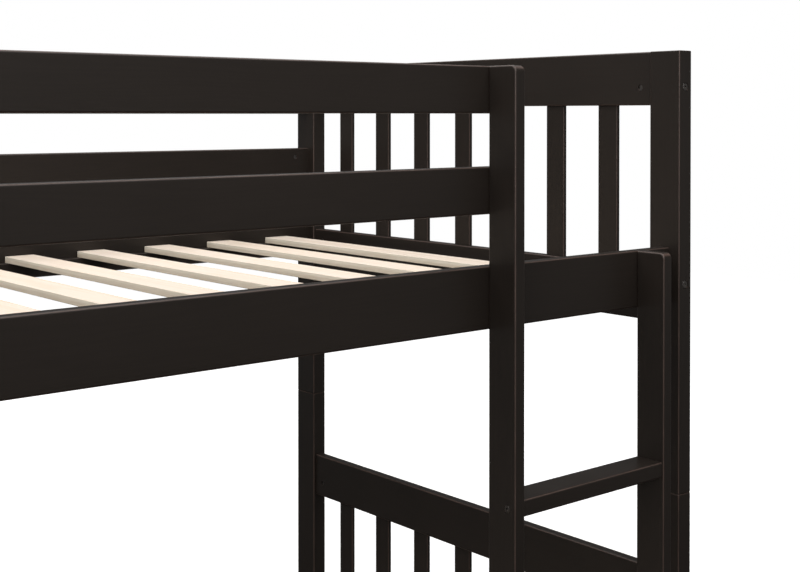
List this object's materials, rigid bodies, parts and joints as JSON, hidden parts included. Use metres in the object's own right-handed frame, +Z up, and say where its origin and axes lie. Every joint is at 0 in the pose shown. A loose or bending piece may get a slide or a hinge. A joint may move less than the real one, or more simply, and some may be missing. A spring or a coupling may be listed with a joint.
{
  "type": "bunk bed",
  "caption": "Wooden twin-over-twin bunk bed with slatted ends, guard boards along the upper bed and a straight ladder at the right of the front; the two beds separate at pins in the posts.",
  "frame": {"origin": "on the floor, under the middle of the whole object, ladder included", "axes": "+X along the bed to its right end as seen from the ladder side, +Y from the ladder side to the back, +Z up"},
  "size_m": [2.02, 1.108, 1.56],
  "materials": {
    "espresso_lacquer": "satin dark brown lacquer over pine, edges softly rounded",
    "bare_slat_wood": "bare planed pine with fine grain and small knots",
    "dowel_wood": "bare beech dowel",
    "dark_steel": "dark bronze plated steel, slightly worn",
    "zinc_plated_steel": "bright zinc plated steel"
  },
  "bodies": {
    "lower_bed": {"bed_joining_pins": "zinc_plated_steel", "lower_barrel_nuts": "dark_steel", "lower_bed_slats": "bare_slat_wood", "lower_cleat_screws": "zinc_plated_steel", "lower_dowels": "dowel_wood", "lower_end_rail_bolts": "dark_steel", "lower_front_side_rail": "espresso_lacquer", "lower_front_slat_cleat": "espresso_lacquer", "lower_left_end_bottom_rail": "espresso_lacquer", "lower_left_end_slats": "espresso_lacquer", "lower_left_end_top_rail": "espresso_lacquer", "lower_post_front_left": "espresso_lacquer", "lower_post_front_right": "espresso_lacquer", "lower_post_rear_left": "espresso_lacquer", "lower_post_rear_right": "espresso_lacquer", "lower_rear_side_rail": "espresso_lacquer", "lower_rear_slat_cleat": "espresso_lacquer", "lower_right_end_bottom_rail": "espresso_lacquer", "lower_right_end_slats": "espresso_lacquer", "lower_right_end_top_rail": "espresso_lacquer", "lower_side_rail_bolts": "dark_steel", "lower_slat_screws": "zinc_plated_steel"},
    "upper_bed": {"front_guard_lower_board": "espresso_lacquer", "front_guard_top_board": "espresso_lacquer", "guard_end_screws": "zinc_plated_steel", "ladder_long_upright": "espresso_lacquer", "ladder_mounting_bolts": "dark_steel", "ladder_rung_1": "espresso_lacquer", "ladder_rung_2": "espresso_lacquer", "ladder_rung_3": "espresso_lacquer", "ladder_short_upright": "espresso_lacquer", "ladder_threaded_inserts": "zinc_plated_steel", "rear_guard_lower_board": "espresso_lacquer", "rear_guard_top_board": "espresso_lacquer", "rung_connecting_screws": "dark_steel", "rung_dowels": "dowel_wood", "upper_barrel_nuts": "dark_steel", "upper_bed_slats": "bare_slat_wood", "upper_cleat_screws": "zinc_plated_steel", "upper_dowels": "dowel_wood", "upper_end_rail_bolts": "dark_steel", "upper_front_side_rail": "espresso_lacquer", "upper_front_slat_cleat": "espresso_lacquer", "upper_left_end_bottom_rail": "espresso_lacquer", "upper_left_end_slats": "espresso_lacquer", "upper_left_end_top_rail": "espresso_lacquer", "upper_post_front_left": "espresso_lacquer", "upper_post_front_right": "espresso_lacquer", "upper_post_rear_left": "espresso_lacquer", "upper_post_rear_right": "espresso_lacquer", "upper_rear_side_rail": "espresso_lacquer", "upper_rear_slat_cleat": "espresso_lacquer", "upper_right_end_bottom_rail": "espresso_lacquer", "upper_right_end_slats": "espresso_lacquer", "upper_right_end_top_rail": "espresso_lacquer", "upper_side_rail_bolts": "dark_steel", "upper_slat_screws": "zinc_plated_steel"}
  },
  "joints": [
    {"name": "upper_bed_lift", "type": "slide", "parent": "lower_bed", "child": "upper_bed", "axis": [0, 0, 1], "range_m": [0, 0.1]}
  ]
}
